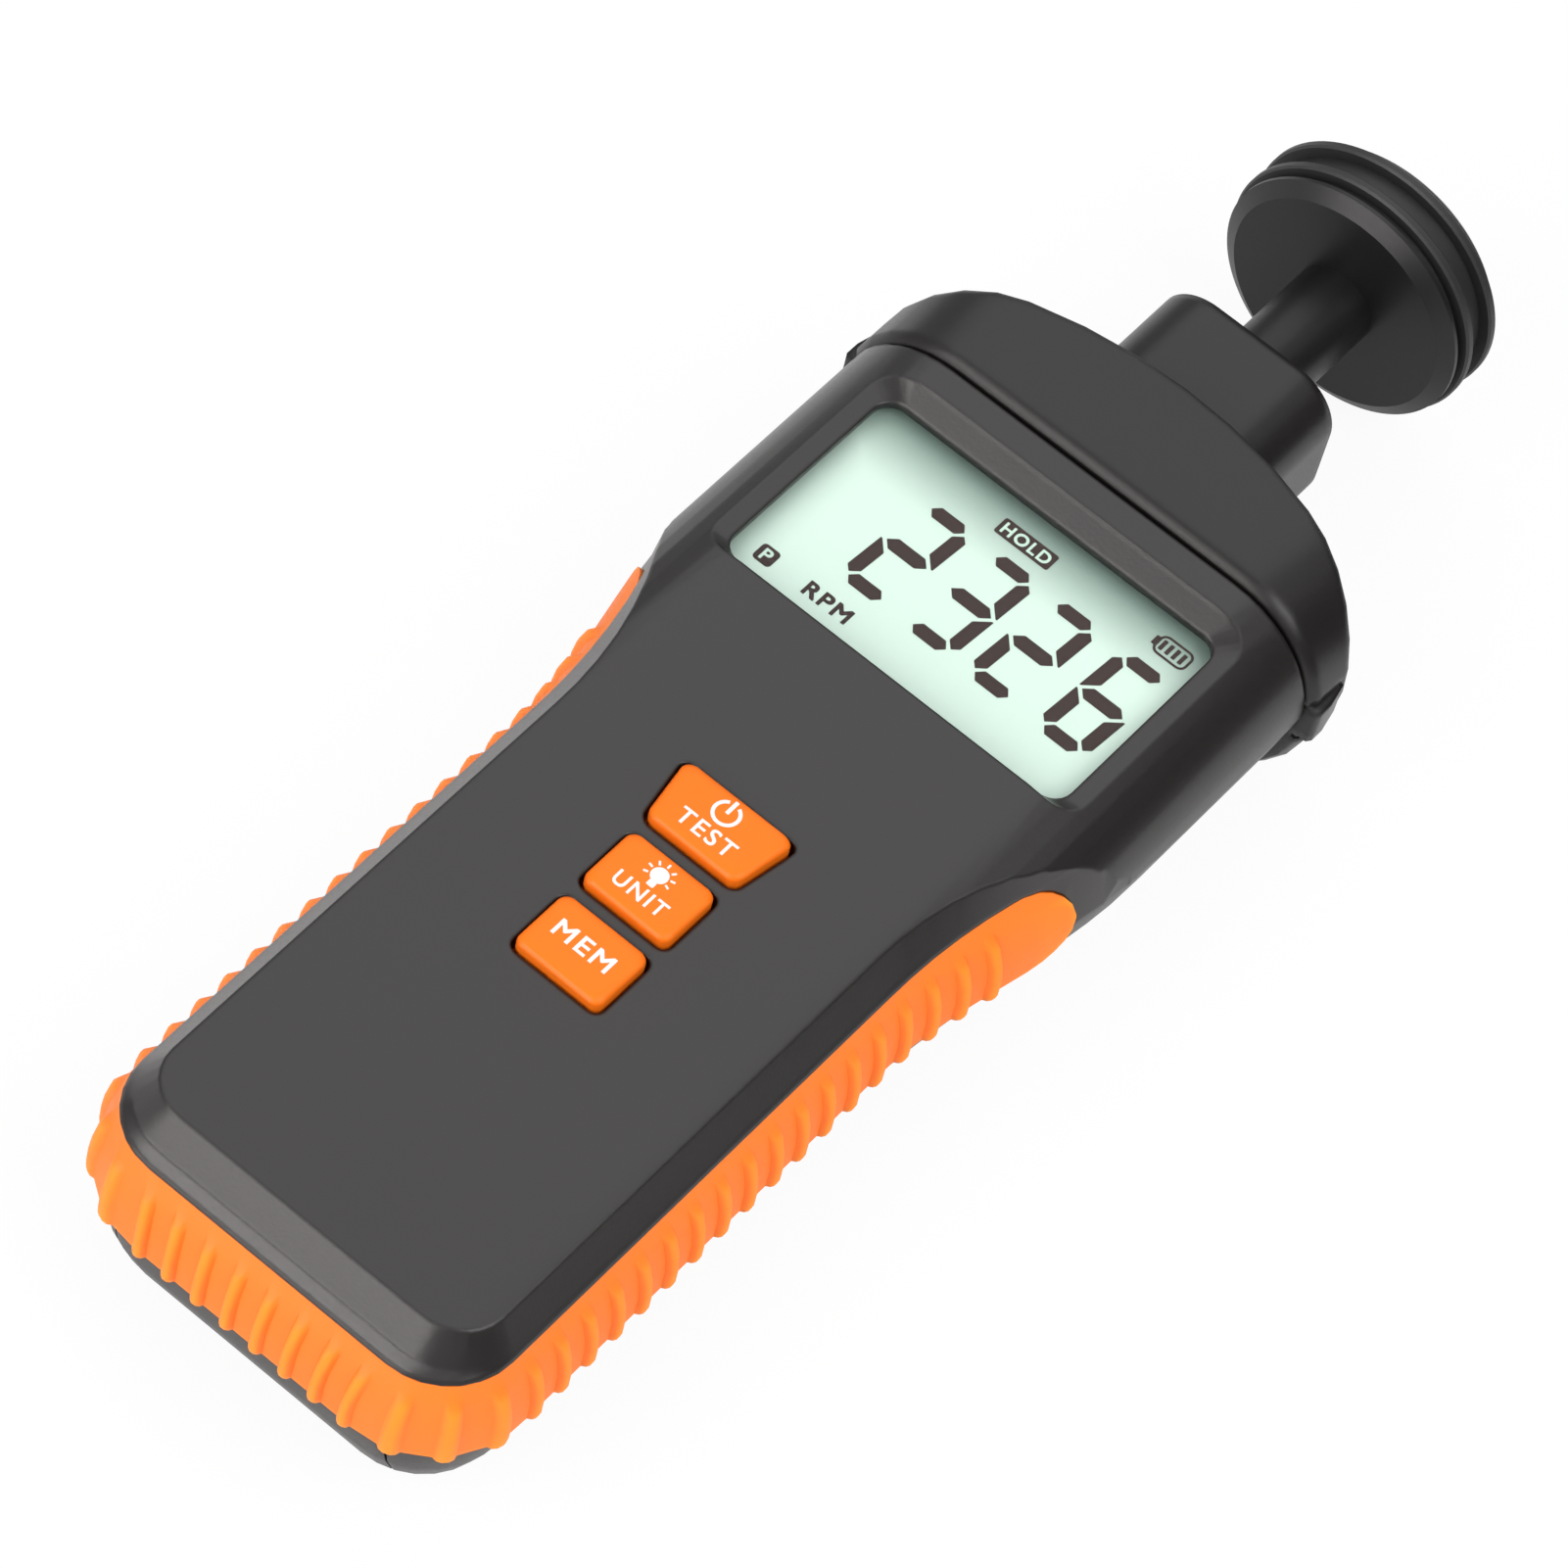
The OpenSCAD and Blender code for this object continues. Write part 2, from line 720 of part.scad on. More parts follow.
module contact_head() {
    tab_end = cap_y + band_length - 0.9;
    tab = [[cap_half - 4, cap_y + 0.2], [cap_half + 0.1, cap_y + 0.2], [cap_half + 0.5, cap_y + 0.8],
        [cap_half + 0.5, cap_y + 2.6], [cap_half - 0.1, tab_end], [cap_half - 4, tab_end]];
    color([0.13, 0.12, 0.12])
        centred()
            difference() {
                union() {
                    cap_form();
                    along_y(nose_y - 4, nose_length + 4)
                        translate([0, spindle_height])
                            round_plate(nose_width, nose_height, nose_corner);
                    for (s = [0, 1])
                        mirror([s, 0, 0])
                            translate([0, 0, spindle_height - 3])
                                linear_extrude(5)
                                    polygon(tab);
                }
                for (s = [-1, 1], z = [-3.6, 2])
                    translate([s * cap_half - 1.6, cap_y - 1, spindle_height + z])
                        cube([3.2, band_length - 0.2, 0.6]);
                along_y(cap_y - 1, chamber_y - cap_y + 1)
                    translate([0, spindle_height])
                        round_plate(spigot_width + 2 * play, spigot_height + 2 * play, spigot_corner + play);
                shaft(chamber_y - 1, rear_bush_y + bush_length - chamber_y + 1, bush_radius + bearing_play);
                shaft(chamber_y, nose_end - chamber_y + 1, spindle_radius + 0.8);
                shaft(nose_end - bush_length - 0.4, bush_length + 2, bush_radius + bearing_play);
            }
}

module spindle() {
    color([0.75, 0.75, 0.77])
        centred()
            shaft(chamber_y - 3.5, wheel_end - 1.6 - chamber_y + 3.5, spindle_radius);
}

module bush(y) {
    translate([0, y, spindle_height])
        rotate([-90, 0, 0])
            tube(bush_length, bush_radius, spindle_radius + bearing_play);
}

module rear_bearing() {
    color([0.7, 0.6, 0.35])
        centred()
            bush(rear_bush_y);
}

module front_bearing() {
    color([0.7, 0.6, 0.35])
        centred()
            bush(nose_end - bush_length - 0.4);
}

module reflector_disc() {
    color([0.85, 0.85, 0.88])
        centred()
            translate([0, chamber_y - 2.4, spindle_height])
                rotate([-90, 0, 0])
                    tube(1.2, spigot_height / 2 - 0.5, spindle_radius + 0.02);
}

module retaining_ring() {
    color([0.6, 0.6, 0.62])
        centred()
            translate([0, rear_bush_y - 1.3, spindle_height])
                rotate([-90, 0, 0])
                    tube(1, bush_radius - 1, spindle_radius + 0.02);
}

hub_rim = tyre_radius - 0.57;
tyre_seat = tyre_radius - 2.5;
tyre_start = 1.7;
tyre_stop = wheel_width - 0.9;

module wheel_hub() {
    bore = spindle_radius + 0.02;
    flat_radius = hub_rim - 1.76;
    color([0.12, 0.12, 0.12])
        centred()
            turned(wheel_y)
                polygon([[bore, -boss_length], [boss_radius - 0.3, -boss_length],
                    [boss_radius, -boss_length + 0.3], [boss_radius, 0], [flat_radius, 0],
                    [hub_rim, 1.1], [hub_rim, tyre_start - 0.1], [tyre_seat, tyre_start - 0.1],
                    [tyre_seat, tyre_stop + 0.1], [hub_rim - 0.4, tyre_stop + 0.1],
                    [hub_rim - 0.4, wheel_width - 0.5], [hub_rim - 0.9, wheel_width],
                    [boss_radius + 6.5, wheel_width], [boss_radius + 5.5, wheel_width - 1.2],
                    [boss_radius + 0.8, wheel_width - 1.2], [boss_radius, wheel_width - 0.4],
                    [bore, wheel_width - 0.4]]);
}

module drive_tyre() {
    lip = 1.2;
    seat = tyre_seat + 0.05;
    groove = tyre_radius - 1.5;
    first = tyre_start + 1;
    second = tyre_stop - 0.3;
    color([0.07, 0.07, 0.07])
        centred()
            turned(wheel_y)
                polygon([[seat, tyre_start], [groove, tyre_start], [groove, first],
                    [tyre_radius - 0.25, first], [tyre_radius, first + 0.25],
                    [tyre_radius, first + lip - 0.25], [tyre_radius - 0.25, first + lip],
                    [groove, first + lip], [groove, second - lip],
                    [tyre_radius - 0.25, second - lip], [tyre_radius, second - lip + 0.25],
                    [tyre_radius, second - 0.25], [tyre_radius - 0.25, second],
                    [groove, second], [groove, tyre_stop], [seat, tyre_stop]]);
}

front_shell();
rear_shell();
grip_sleeve();
display_lens();
lcd_panel();
lcd_strips();
power_key();
unit_key();
memory_key();
main_board();
tact_switches();
case_screws();
board_screws();
battery_cover();
battery_cells();
battery_contacts();
front_bezel();
laser_module();
photo_sensor();
contact_head();
spindle();
rear_bearing();
front_bearing();
reflector_disc();
retaining_ring();
wheel_hub();
drive_tyre();
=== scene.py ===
import math

import bpy
from mathutils import Matrix, Vector


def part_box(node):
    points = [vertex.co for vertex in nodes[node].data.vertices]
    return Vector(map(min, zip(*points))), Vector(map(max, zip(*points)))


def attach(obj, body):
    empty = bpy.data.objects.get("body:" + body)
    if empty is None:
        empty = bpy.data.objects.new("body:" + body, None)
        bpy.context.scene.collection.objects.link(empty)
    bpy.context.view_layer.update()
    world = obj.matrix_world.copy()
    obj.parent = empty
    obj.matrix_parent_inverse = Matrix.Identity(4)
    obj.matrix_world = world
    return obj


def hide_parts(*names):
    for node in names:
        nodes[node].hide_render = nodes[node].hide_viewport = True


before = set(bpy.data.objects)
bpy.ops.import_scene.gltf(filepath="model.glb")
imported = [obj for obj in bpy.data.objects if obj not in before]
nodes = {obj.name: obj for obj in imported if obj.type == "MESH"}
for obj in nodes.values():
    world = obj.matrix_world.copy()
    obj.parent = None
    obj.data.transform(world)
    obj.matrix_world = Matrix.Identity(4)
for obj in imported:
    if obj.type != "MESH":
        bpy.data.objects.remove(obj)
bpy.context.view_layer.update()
scene = bpy.context.scene


# View and light
# The meter lies on its back on a white table in a pale room, seen from above the butt and from its right.
# Soft boxes light it from the front, the right and the rear. The front one stays out of the gloss;
# two more boxes and a dark card show in the gloss alone.
scene.view_settings.view_transform = "Standard"

camera_place = Vector((0.19290, -0.395936, 0.64514))
view_right = Vector((0.7616, 0.6298, 0.1528))
view_up = Vector((-0.5954, 0.5869, 0.5486))
view_back = Vector((0.2558, -0.5088, 0.822))
camera_data = bpy.data.cameras.new("view_camera")
camera_data.sensor_width = 36.0
camera_data.lens = 171.2
camera_data.clip_start = 0.01
camera = bpy.data.objects.new("view_camera", camera_data)
scene.collection.objects.link(camera)
view_turn = Matrix((view_right, view_up, view_back)).transposed().to_4x4()
camera.matrix_world = Matrix.Translation(camera_place) @ view_turn
scene.camera = camera


def soft_box(name, place, aim, width, height, power, tint, on_matt=True, in_gloss=True):
    """A soft light box that looks at a point of the meter, and which kind of surface shows its light."""
    data = bpy.data.lights.new(name, "AREA")
    data.shape = "RECTANGLE"
    data.size = width
    data.size_y = height
    data.energy = power
    data.color = tint
    lamp = bpy.data.objects.new(name, data)
    scene.collection.objects.link(lamp)
    lamp.location = place
    lamp.rotation_euler = (Vector(aim) - Vector(place)).to_track_quat("-Z", "Y").to_euler()
    lamp.visible_diffuse = on_matt
    lamp.visible_glossy = in_gloss


gloss_tint = (1.0, 0.965, 0.945)
soft_box("front_box", place=(-0.22, -0.76, 0.56), aim=(0.0, -0.04, 0.02), width=0.9, height=0.8,
         power=7.6, tint=(1.0, 0.97, 0.955), in_gloss=False)
soft_box("sheen_box", place=(-0.24, -0.92, 0.24), aim=(0.0, -0.08, 0.03), width=0.8, height=0.44,
         power=5.4, tint=gloss_tint, on_matt=False)
soft_box("bevel_box", place=(-0.25, -0.53, 0.76), aim=(0.0, 0.03, 0.03), width=0.7, height=0.16,
         power=3.6, tint=gloss_tint, on_matt=False)
soft_box("right_box", place=(0.78, 0.0, 0.92), aim=(0.0, 0.0, 0.02), width=0.9, height=0.9,
         power=9.2, tint=(1.0, 0.99, 0.985))
soft_box("rear_box", place=(-0.36, 0.70, 1.08), aim=(0.0, 0.02, 0.02), width=1.2, height=1.1,
         power=4.8, tint=(1.0, 0.995, 1.0))

card_long = 0.60
card_high = 0.12
card_place = (0.15, 0.03, 0.06)
card_turn = -66.0
bpy.ops.object.select_all(action="DESELECT")
bpy.ops.mesh.primitive_plane_add(size=1.0)
card = bpy.context.active_object
card.name = "dark_card"
bpy.ops.object.mode_set(mode="EDIT")
bpy.ops.mesh.select_all(action="SELECT")
bpy.ops.transform.resize(value=(card_long, card_high, 1.0))
bpy.ops.object.mode_set(mode="OBJECT")
card_upright = Matrix.Rotation(math.radians(90.0), 4, "X")
card_facing = Matrix.Rotation(math.radians(card_turn), 4, "Z")
card.data.transform(Matrix.Translation(card_place) @ card_facing @ card_upright)


def new_finish(name):
    """A new material and its shader."""
    finish = bpy.data.materials.new(name)
    finish.use_nodes = True
    return finish, finish.node_tree.nodes["Principled BSDF"]


card_black, shader = new_finish("card_black")
shader.inputs["Base Color"].default_value = (0.01, 0.01, 0.01, 1.0)
shader.inputs["Roughness"].default_value = 0.9
card.data.materials.append(card_black)
card.visible_camera = False
card.visible_diffuse = False
card.visible_shadow = False
card.visible_transmission = False


def feed(tree, source, socket):
    """Sets a node's input to a value, or links it where the source is another node's output."""
    if isinstance(source, bpy.types.NodeSocket):
        tree.links.new(source, socket)
    else:
        socket.default_value = source


def combine(tree, operation, first, second=0.0):
    """What an operation makes of two values or outputs."""
    step = tree.nodes.new("ShaderNodeMath")
    step.operation = operation
    feed(tree, first, step.inputs[0])
    feed(tree, second, step.inputs[1])
    return step.outputs["Value"]


def soft_ramp(tree, value, start, end, low=0.0, high=1.0):
    """Runs softly from low to high as a value goes from start to end."""
    ramp = tree.nodes.new("ShaderNodeMapRange")
    ramp.interpolation_type = "SMOOTHSTEP"
    ramp.inputs["From Min"].default_value = start
    ramp.inputs["From Max"].default_value = end
    ramp.inputs["To Min"].default_value = low
    ramp.inputs["To Max"].default_value = high
    tree.links.new(value, ramp.inputs["Value"])
    return ramp.outputs["Result"]


def plainly_seen(tree, gloss_share):
    """1 for a ray that the eye sees, straight or through glass, a share for one by a mirror, 0 for light."""
    path = tree.nodes.new("ShaderNodeLightPath")
    mirror = combine(tree, "MULTIPLY", path.outputs["Is Glossy Ray"], gloss_share)
    straight = combine(tree, "MAXIMUM", path.outputs["Is Camera Ray"], mirror)
    return combine(tree, "MAXIMUM", straight, path.outputs["Is Transmission Ray"])


def white_where_seen(tree, share, lit, white, out):
    """Shows plain white by the share of each ray that is seen, and the lit surface for the rest."""
    mix = tree.nodes.new("ShaderNodeMixShader")
    tree.links.new(share, mix.inputs["Fac"])
    tree.links.new(lit, mix.inputs[1])
    tree.links.new(white, mix.inputs[2])
    tree.links.new(mix.outputs["Shader"], out.inputs["Surface"])


room_bright_from = 0.6
room_low_light = 0.12
room_high_light = 0.34
room_gloss_share = 0.3
world = bpy.data.worlds.new("pale_room")
scene.world = world
world.use_nodes = True
tree = world.node_tree
tree.nodes.clear()
room_out = tree.nodes.new("ShaderNodeOutputWorld")
room_way = tree.nodes.new("ShaderNodeTexCoord")
room_axes = tree.nodes.new("ShaderNodeSeparateXYZ")
tree.links.new(room_way.outputs["Generated"], room_axes.inputs["Vector"])
room_light = soft_ramp(tree, room_axes.outputs["Z"], 0.0, room_bright_from, room_low_light, room_high_light)
room_fill = tree.nodes.new("ShaderNodeBackground")
room_fill.inputs["Color"].default_value = (0.97, 0.98, 1.0, 1.0)
tree.links.new(room_light, room_fill.inputs["Strength"])
room_white = tree.nodes.new("ShaderNodeBackground")
room_white.inputs["Color"].default_value = (1.0, 1.0, 1.0, 1.0)
room_white.inputs["Strength"].default_value = 1.0
white_where_seen(tree, plainly_seen(tree, room_gloss_share), room_fill.outputs["Background"],
                 room_white.outputs["Background"], room_out)

table_wide = 6.0
table_gap = 0.0002
table_white_share = 0.93
table_gloss_share = 0.46
bpy.ops.object.select_all(action="DESELECT")
bpy.ops.mesh.primitive_plane_add(size=table_wide, location=(0.0, 0.0, -table_gap))
table = bpy.context.active_object
table.name = "table_top"
table_white = bpy.data.materials.new("table_white")
table_white.use_nodes = True
tree = table_white.node_tree
tree.nodes.clear()
table_out = tree.nodes.new("ShaderNodeOutputMaterial")
table_matt = tree.nodes.new("ShaderNodeBsdfDiffuse")
table_matt.inputs["Color"].default_value = (0.9, 0.9, 0.9, 1.0)
table_glow = tree.nodes.new("ShaderNodeEmission")
table_glow.inputs["Color"].default_value = (1.0, 1.0, 1.0, 1.0)
table_glow.inputs["Strength"].default_value = 1.0
table_share = combine(tree, "MULTIPLY", plainly_seen(tree, table_gloss_share), table_white_share)
white_where_seen(tree, table_share, table_matt.outputs["BSDF"], table_glow.outputs["Emission"], table_out)
table.data.materials.append(table_white)


# Front shell
# A black moulding with a fine spark-eroded grain, flat on the face and chamfered down to the rim.
# It carries the display, the keys and the board, and is screwed to the rear shell from behind.
cloud_scale = 60.0
cloud_detail = 4.0
grain_gloss = 0.06
grain_height = 0.0001
edge_samples = 8
weld_reach = 0.000001
even_weight = 50


def object_place(tree):
    """The place of a point on its piece."""
    return tree.nodes.new("ShaderNodeTexCoord").outputs["Object"]


def clouding(tree, vector, scale, detail=2.0):
    """A soft cloudy pattern from 0 to 1."""
    pattern = tree.nodes.new("ShaderNodeTexNoise")
    pattern.inputs["Scale"].default_value = scale
    pattern.inputs["Detail"].default_value = detail
    tree.links.new(vector, pattern.inputs["Vector"])
    return pattern.outputs["Fac"]


def vary_gloss(tree, pattern, low, high):
    """Lets a pattern vary a finish's roughness between two limits."""
    gloss = tree.nodes.new("ShaderNodeMapRange")
    gloss.inputs["To Min"].default_value = low
    gloss.inputs["To Max"].default_value = high
    tree.links.new(pattern, gloss.inputs["Value"])
    tree.links.new(gloss.outputs["Result"], tree.nodes["Principled BSDF"].inputs["Roughness"])


def blend_tones(tree, share, first, second):
    """Two tones mixed by a share; each is a colour or another node's output."""
    mix = tree.nodes.new("ShaderNodeMix")
    mix.data_type = "RGBA"
    tree.links.new(share, mix.inputs["Factor"])
    feed(tree, first, mix.inputs["A"])
    feed(tree, second, mix.inputs["B"])
    return mix.outputs["Result"]


def moulded(name, tone, shade, roughness, grain, depth, specular=0.5, edge=0.0):
    """A moulded finish: two close tones in soft clouds, and a fine grain in the gloss and the relief.

    With edge, the light rounds off the edges over that width, as a mould leaves them."""
    finish, shader = new_finish(name)
    tree = finish.node_tree
    place = object_place(tree)
    clouds = clouding(tree, place, cloud_scale, cloud_detail)
    tones = blend_tones(tree, clouds, (*tone, 1.0), (*shade, 1.0))
    tree.links.new(tones, shader.inputs["Base Color"])
    pits = clouding(tree, place, grain)
    vary_gloss(tree, pits, roughness - grain_gloss, roughness + grain_gloss)
    relief = tree.nodes.new("ShaderNodeBump")
    relief.inputs["Strength"].default_value = depth
    relief.inputs["Distance"].default_value = grain_height
    tree.links.new(pits, relief.inputs["Height"])
    tree.links.new(relief.outputs["Normal"], shader.inputs["Normal"])
    shader.inputs["Specular IOR Level"].default_value = specular
    if edge:
        rounding = tree.nodes.new("ShaderNodeBevel")
        rounding.samples = edge_samples
        rounding.inputs["Radius"].default_value = edge
        tree.links.new(rounding.outputs["Normal"], relief.inputs["Normal"])
    return finish


def pick(o):
    """Selects one object alone and makes it the active one."""
    bpy.ops.object.select_all(action="DESELECT")
    bpy.context.view_layer.objects.active = o
    o.select_set(True)


def finish_node(name, material, angle=28.0):
    """Gives a CAD node its finish, and shades it round except at edges sharper than the angle."""
    node = nodes[name]
    node.data.materials.clear()
    node.data.materials.append(material)
    pick(node)
    if node.data.has_custom_normals:
        bpy.ops.mesh.customdata_custom_splitnormals_clear()
    bpy.ops.object.shade_smooth()
    weld = node.modifiers.new("join_faces", "WELD")
    weld.merge_threshold = weld_reach
    split = node.modifiers.new("keen_edges", "EDGE_SPLIT")
    split.split_angle = math.radians(angle)
    even = node.modifiers.new("even_shade", "WEIGHTED_NORMAL")
    even.weight = even_weight
    node.select_set(False)


black_tone = (0.0165, 0.0145, 0.0142)
black_shade = (0.0140, 0.0125, 0.0122)
shell_black = moulded("shell_black", black_tone, black_shade, roughness=0.31, grain=2600.0, depth=0.10,
                      specular=0.5, edge=0.0006)
finish_node("front_shell", shell_black, angle=19.0)


# Rear shell and battery cover
# The same black moulding as the front, rounded to the back, with four screw wells.
# The cover slides out at the butt and its end closes the battery room.
rear_black = moulded("rear_black", black_tone, black_shade, roughness=0.33, grain=2600.0, depth=0.10,
                     specular=0.16)
finish_node("rear_shell", rear_black)
finish_node("battery_cover", rear_black)


# Grip sleeve
# Soft orange rubber moulded over the channel round the handle, with rounded ribs across it.
# Its skin is matt; below the rim the crests of the ribs are painted a little yellower, a painted highlight.
valley_curve = 0.48
crest_curve = 0.58
rim_height = 0.0237
below_rim_height = 0.0224
crest_highlight_tone = (1.0, 0.285, 0.010, 1.0)


def along(tree, axis):
    """The place of a point on its piece, along one axis."""
    axes = tree.nodes.new("ShaderNodeSeparateXYZ")
    tree.links.new(object_place(tree), axes.inputs["Vector"])
    return axes.outputs[axis]


def tint_by(finish, share, tone):
    """Turns a finish's colour towards another tone by a share."""
    tree = finish.node_tree
    colour = tree.nodes["Principled BSDF"].inputs["Base Color"]
    tinted = blend_tones(tree, share, colour.links[0].from_socket, tone)
    tree.links.new(tinted, colour)


grip_orange = moulded("grip_orange", (1.0, 0.213, 0.013), (0.97, 0.198, 0.012), roughness=0.55, grain=1800.0,
                      depth=0.06, specular=0.3)
tree = grip_orange.node_tree
# Painted highlight: the crests of the ribs, found by the mesh's pointiness, are tinted yellower below the
# rim.
form = tree.nodes.new("ShaderNodeNewGeometry")
crest_highlight = soft_ramp(tree, form.outputs["Pointiness"], valley_curve, crest_curve)
below_rim = soft_ramp(tree, along(tree, "Z"), rim_height, below_rim_height)
tint_by(grip_orange, combine(tree, "MULTIPLY", crest_highlight, below_rim), crest_highlight_tone)
finish_node("grip_sleeve", grip_orange, angle=48.0)


# Display
# A pale green reflective liquid-crystal panel behind a clear window, pressed to the board on rubber strips.
# The figures lie on the panel: four slanted digits, a unit word and small signs.
MM = 0.001
ink_lift = 0.02
ink_film = 0.02
ink_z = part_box("lcd_panel")[1].z / MM + ink_lift
corner_steps = 5

panel_tone = (0.70, 0.90, 0.785, 1.0)
panel_shadow = (0.165, 0.25, 0.215, 1.0)
panel_green, shader = new_finish("panel_green")
tree = panel_green.node_tree
# Painted shade: the panel's colour is darkened along its top and left edges, where the window's walls would
# shade it.
top_shade = soft_ramp(tree, along(tree, "Y"), start=0.0222, end=0.0325, high=0.95)
left_shade = soft_ramp(tree, along(tree, "X"), start=-0.0180, end=-0.0235, high=0.45)
both_shades = combine(tree, "MAXIMUM", top_shade, left_shade)
tree.links.new(blend_tones(tree, both_shades, panel_tone, panel_shadow), shader.inputs["Base Color"])
vary_gloss(tree, clouding(tree, object_place(tree), scale=900.0), low=0.35, high=0.45)
finish_node("lcd_panel", panel_green)

window_clear, shader = new_finish("window_clear")
tree = window_clear.node_tree
vary_gloss(tree, clouding(tree, object_place(tree), scale=120.0), low=0.04, high=0.10)
shader.inputs["Base Color"].default_value = (0.30, 0.36, 0.33, 1.0)
shader.inputs["Alpha"].default_value = 0.04
finish_node("display_lens", window_clear)

strip_pink = moulded("strip_pink", (0.62, 0.26, 0.32), (0.55, 0.22, 0.28), roughness=0.6, grain=900.0,
                     depth=0.05)
finish_node("lcd_strips", strip_pink)

segment_ink = moulded("segment_ink", (0.034, 0.013, 0.013), (0.040, 0.017, 0.016), roughness=0.5,
                      grain=1500.0, depth=0.02, specular=0.1)
letter_pale = moulded("letter_pale", (0.66, 0.86, 0.74), (0.62, 0.83, 0.71), roughness=0.45,
                      grain=1500.0, depth=0.02, specular=0.2)


def thicken(film):
    """Draws the flat mesh in edit mode up to a film, in millimetres, and leaves edit mode."""
    bpy.ops.mesh.select_all(action="SELECT")
    bpy.ops.mesh.extrude_region_move(TRANSFORM_OT_translate={"value": (0.0, 0.0, film * MM)})
    bpy.ops.mesh.select_all(action="SELECT")
    bpy.ops.mesh.normals_make_consistent(inside=False)
    bpy.ops.object.mode_set(mode="OBJECT")


def plate(width, length, corner=0.0, cuts=(), film=ink_film):
    """A thin plate about the origin, in millimetres, with rounded corners or with its ends cut off.

    A cut is a point on it and the way it looks; what lies beyond goes."""
    bpy.ops.object.select_all(action="DESELECT")
    bpy.ops.mesh.primitive_plane_add(size=1.0)
    o = bpy.context.active_object
    bpy.ops.object.mode_set(mode="EDIT")
    bpy.ops.mesh.select_all(action="SELECT")
    bpy.ops.transform.resize(value=(width * MM, length * MM, 1.0))
    if corner:
        bpy.ops.mesh.bevel(offset=corner * MM, segments=corner_steps, affect="VERTICES")
    for (x, y), (away_x, away_y) in cuts:
        bpy.ops.mesh.select_all(action="SELECT")
        bpy.ops.mesh.bisect(plane_co=(x * MM, y * MM, 0.0), plane_no=(away_x, away_y, 0.0), clear_outer=True)
    thicken(film)
    return o


def own_copy(pattern):
    """A copy of a pattern with its own mesh."""
    o = pattern.copy()
    o.data = pattern.data.copy()
    scene.collection.objects.link(o)
    return o


def set_down(o, x, y, z, turn=0.0):
    """Moves a mark's mesh to its place, in millimetres, turned about its middle."""
    turned = Matrix.Rotation(math.radians(turn), 4, "Z")
    o.data.transform(Matrix.Translation((x * MM, y * MM, z * MM)) @ turned)
    return o


def to_print(marks, name, material, body):
    """Joins marks into one piece, with its place in its mesh, that rides on a body."""
    bpy.ops.object.select_all(action="DESELECT")
    for o in marks:
        o.select_set(True)
    bpy.context.view_layer.objects.active = marks[0]
    if len(marks) > 1:
        bpy.ops.object.join()
    piece = bpy.context.active_object
    bpy.ops.object.transform_apply(location=True, rotation=True, scale=True)
    piece.name = name
    piece.data.materials.clear()
    piece.data.materials.append(material)
    piece.select_set(False)
    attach(piece, body)
    return piece


def level_bar(long, wide, cut_x, cut_y):
    """A level bar of a digit, pointed at both ends by four cuts."""
    ends = [((sx * long / 2, 0.0), (sx * cut_x, sy * cut_y)) for sx in (-1, 1) for sy in (-1, 1)]
    return plate(long, wide, cuts=ends)


flat_bar = level_bar(long=4.4, wide=1.72, cut_x=0.86, cut_y=0.7)
middle_bar = level_bar(long=5.34, wide=1.8, cut_x=0.9, cut_y=0.9)
side_tip = (0.09, 2.9)
side_heel = (0.62, -2.9)
side_cuts = ((side_tip, (0.68, 0.72)), (side_tip, (-0.88, 0.9)), (side_heel, (-1.1, -1.43)))
side_bar = plate(width=1.62, length=5.8, cuts=side_cuts)
side_x = 2.43
side_y = 3.15
end_y = 6.42
digit_slant = 0.065
digit_y = 18.41
digit_xs = (-8.9, -0.22, 8.07, 17.29)
bar_places = {
    "a": (flat_bar, 1, 1, 0.0, end_y),
    "b": (side_bar, 1, 1, side_x, side_y),
    "c": (side_bar, 1, -1, side_x, -side_y),
    "d": (flat_bar, 1, -1, 0.0, -end_y),
    "e": (side_bar, -1, -1, -side_x, -side_y),
    "f": (side_bar, -1, 1, -side_x, side_y),
    "g": (middle_bar, 1, 1, 0.0, 0.0)}
lit_bars = {"2": "abged", "3": "abgcd", "6": "afgecd"}
slant = Matrix(((1, digit_slant, 0, 0), (0, 1, 0, 0), (0, 0, 1, 0), (0, 0, 0, 1)))
bars = []
for figure, digit_x in zip("2326", digit_xs):
    for key in lit_bars[figure]:
        pattern, flip_x, flip_y, bar_x, bar_y = bar_places[key]
        bar = own_copy(pattern)
        flip = Matrix.Diagonal((flip_x, flip_y, 1.0, 1.0))
        bar.data.transform(slant @ Matrix.Translation((bar_x * MM, bar_y * MM, 0.0)) @ flip)
        if flip_x * flip_y < 0:
            bar.data.flip_normals()
        bars.append(set_down(bar, digit_x, digit_y, ink_z))
for pattern in (flat_bar, middle_bar, side_bar):
    bpy.data.objects.remove(pattern)
to_print(bars, "display_digits", segment_ink, "housing")

letter_size = 0.01
letter_space = 1.18
letter_steps = 6
strike_lift = 0.001
least_corner = 0.05


